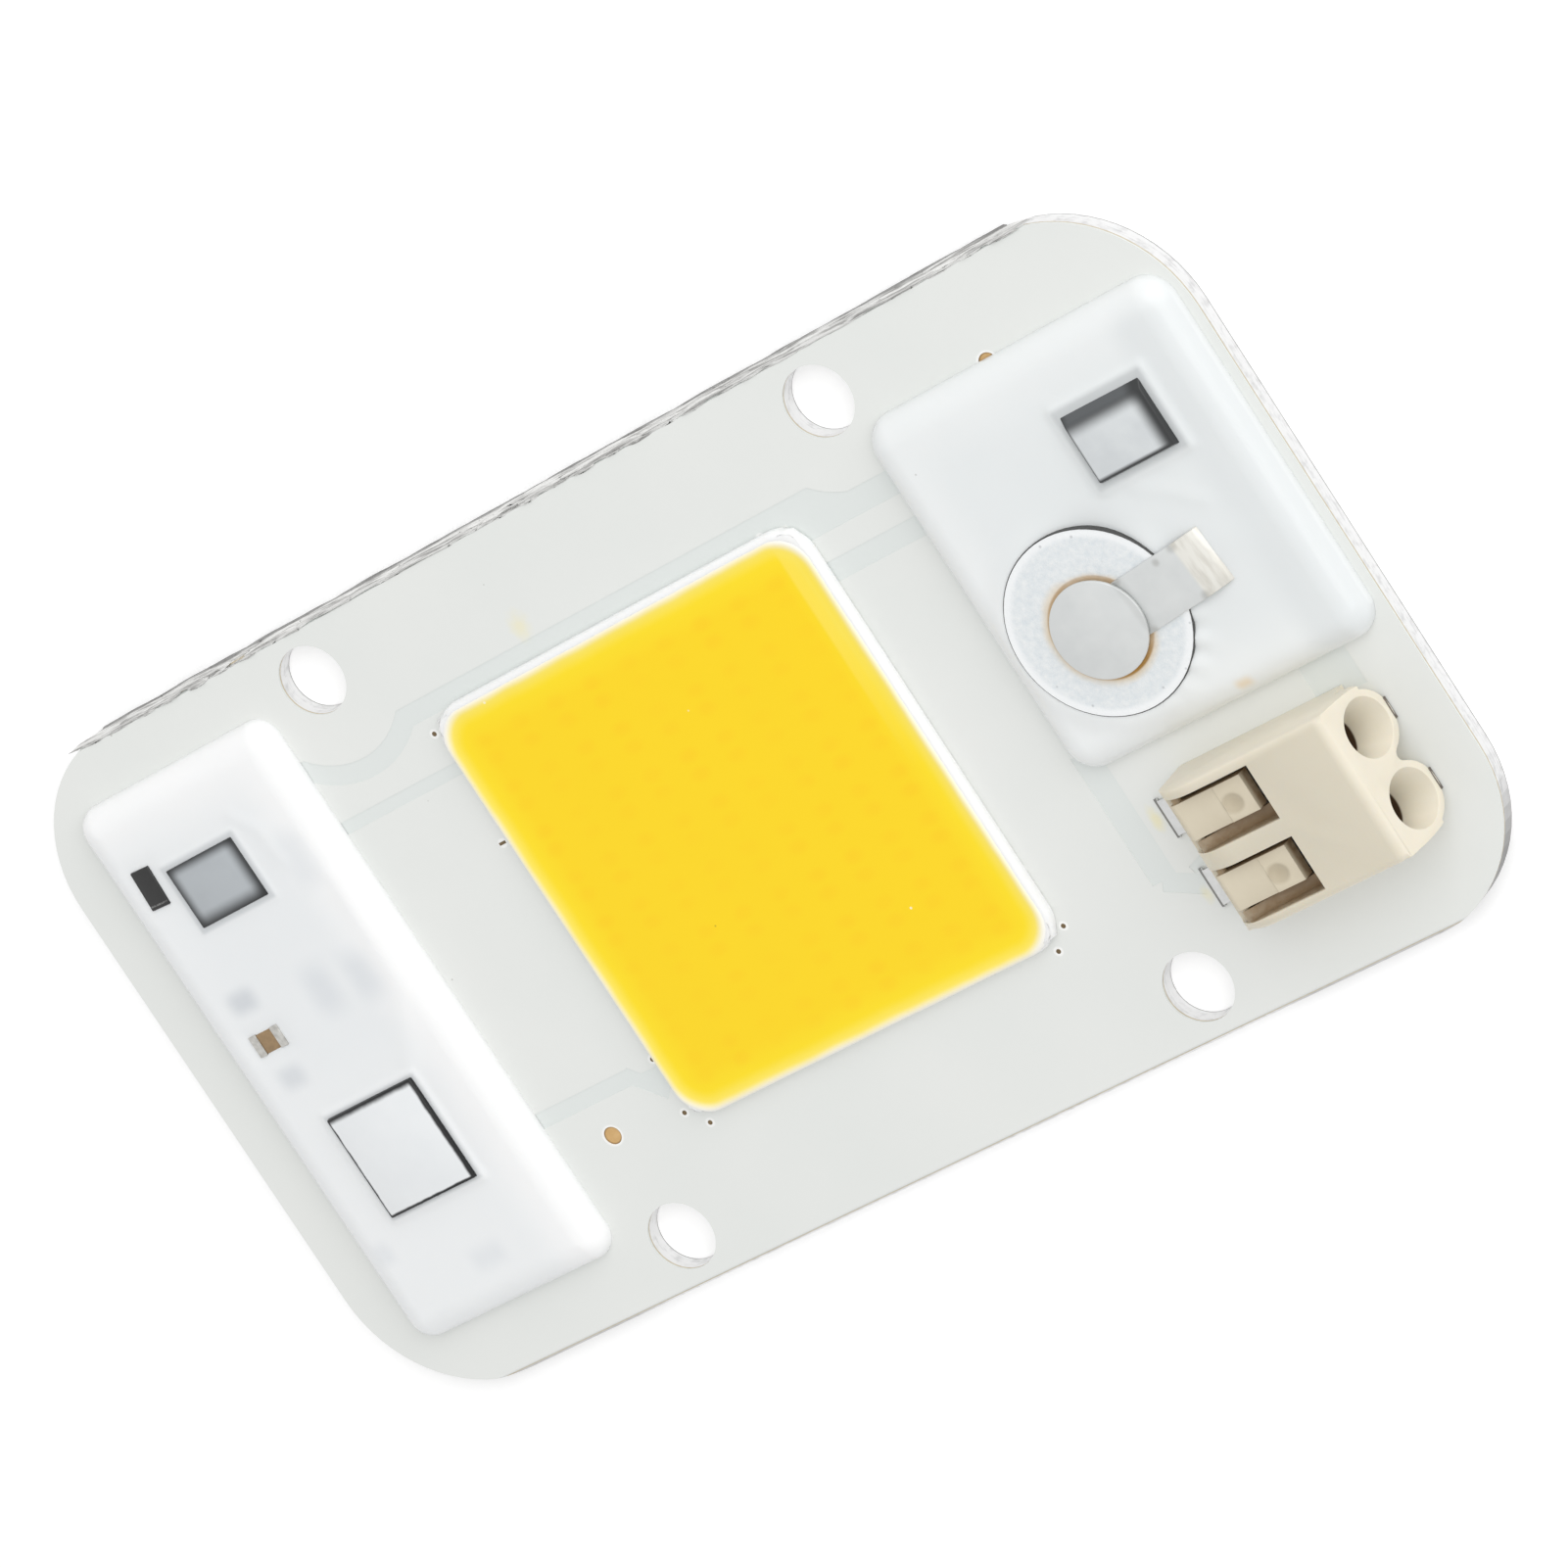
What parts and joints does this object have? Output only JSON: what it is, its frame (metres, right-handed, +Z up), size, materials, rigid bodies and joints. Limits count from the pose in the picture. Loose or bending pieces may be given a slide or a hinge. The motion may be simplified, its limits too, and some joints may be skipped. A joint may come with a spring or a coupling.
{
  "type": "led light engine module",
  "caption": "Flat LED light engine: aluminium board with a square yellow emitter, white potted driver areas, a disc varistor and a push-in wire terminal with levers.",
  "frame": {"origin": "centre of the board's bottom face", "axes": "+X along the board to the terminal end, +Y across the board, +Z up out of the emitter's face"},
  "size_m": [0.075, 0.04, 0.0056],
  "materials": {
    "aluminium": "milled, dull",
    "dielectric": "filled epoxy",
    "copper": "bare finish at the test dots",
    "mask": "white screen-printed mask",
    "solder": "reflowed",
    "die": "flip chip",
    "dam_silicone": "white silicone",
    "phosphor": "phosphor-filled silicone",
    "moulding_compound": "moulded epoxy",
    "tinned_lead": "tin plated",
    "tan_ceramic": "fired ceramic",
    "resistor": "glazed",
    "potting_silicone": "white silicone",
    "dark_ceramic": "fired zinc oxide",
    "silver": "fired silver",
    "tinned_strap": "tin plated, dull",
    "cream_plastic": "moulded",
    "spring_steel": "rolled"
  },
  "bodies": {
    "board": {"aluminium_core": "aluminium", "dielectric_layer": "dielectric", "copper_foil": "copper", "solder_mask": "mask", "solder_pads": "solder", "led_dies": "die", "emitter_dam": "dam_silicone", "phosphor_fill": "phosphor", "driver_body": "moulding_compound", "driver_leads": "tinned_lead", "regulator_body": "moulding_compound", "regulator_leads": "tinned_lead", "diode_body": "moulding_compound", "diode_leads": "tinned_lead", "capacitor_body": "tan_ceramic", "capacitor_ends": "tinned_lead", "chip_resistor_1": "resistor", "chip_resistor_2": "resistor", "chip_resistor_3": "resistor", "chip_resistor_4": "resistor", "chip_resistor_5": "resistor", "potting_left": "potting_silicone", "rectifier_body": "moulding_compound", "rectifier_leads": "tinned_lead", "varistor_disc": "dark_ceramic", "varistor_electrodes": "silver", "varistor_strap": "tinned_strap", "potting_right": "potting_silicone", "terminal_housing": "cream_plastic", "contact_1": "tinned_lead", "contact_2": "tinned_lead", "clamp_spring_1": "spring_steel", "clamp_spring_2": "spring_steel"},
    "lever_1": {"release_lever_1": "cream_plastic"},
    "lever_2": {"release_lever_2": "cream_plastic"}
  },
  "joints": [
    {"name": "lever_1_press", "type": "hinge", "parent": "board", "child": "lever_1", "pos_m": [0.0239, -0.00886, 0.00457], "axis": [0, 1, 0], "range_deg": [0, 12], "stiffness_Nm_per_rad": 0.08, "deforming": ["clamp_spring_1"]},
    {"name": "lever_2_press", "type": "hinge", "parent": "board", "child": "lever_2", "pos_m": [0.0239, -0.0129, 0.00457], "axis": [0, 1, 0], "range_deg": [0, 12], "stiffness_Nm_per_rad": 0.08, "deforming": ["clamp_spring_2"]}
  ]
}
